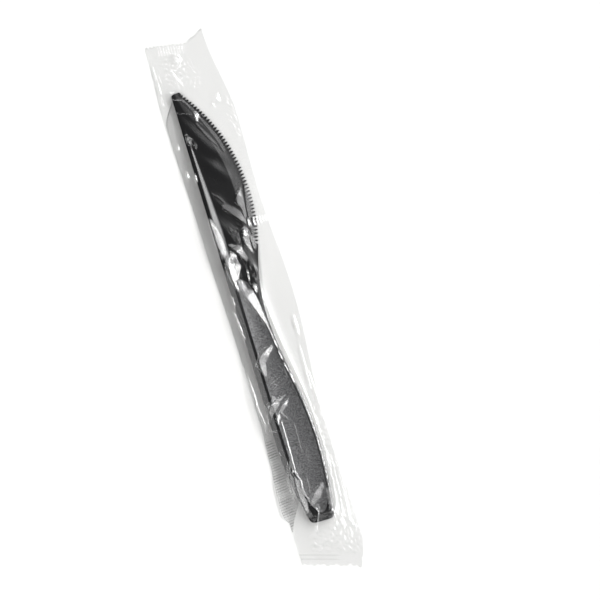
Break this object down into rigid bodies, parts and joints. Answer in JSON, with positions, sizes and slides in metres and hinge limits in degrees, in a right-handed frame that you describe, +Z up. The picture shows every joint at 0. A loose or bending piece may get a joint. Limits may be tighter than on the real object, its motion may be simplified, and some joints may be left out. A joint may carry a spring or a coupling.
{
  "type": "wrapped plastic knife",
  "caption": "Disposable black plastic table knife with a saw-toothed edge and dished grip, sealed in a clear crimped film sleeve.",
  "frame": {"origin": "middle of the sleeve's footprint, on the surface that its back lies on", "axes": "+Y along the sleeve towards the knife's tip, +X across it towards the toothed edge, +Z up out of the face with the grip panel"},
  "size_m": [0.0314, 0.232, 0.0059],
  "materials": {
    "black_polystyrene": "moulded gloss, with a matte stippled grip panel",
    "clear_film": "clear glossy polypropylene film, creased"
  },
  "bodies": {
    "root": {"knife": "black_polystyrene", "wrapper": "clear_film"}
  },
  "joints": []
}
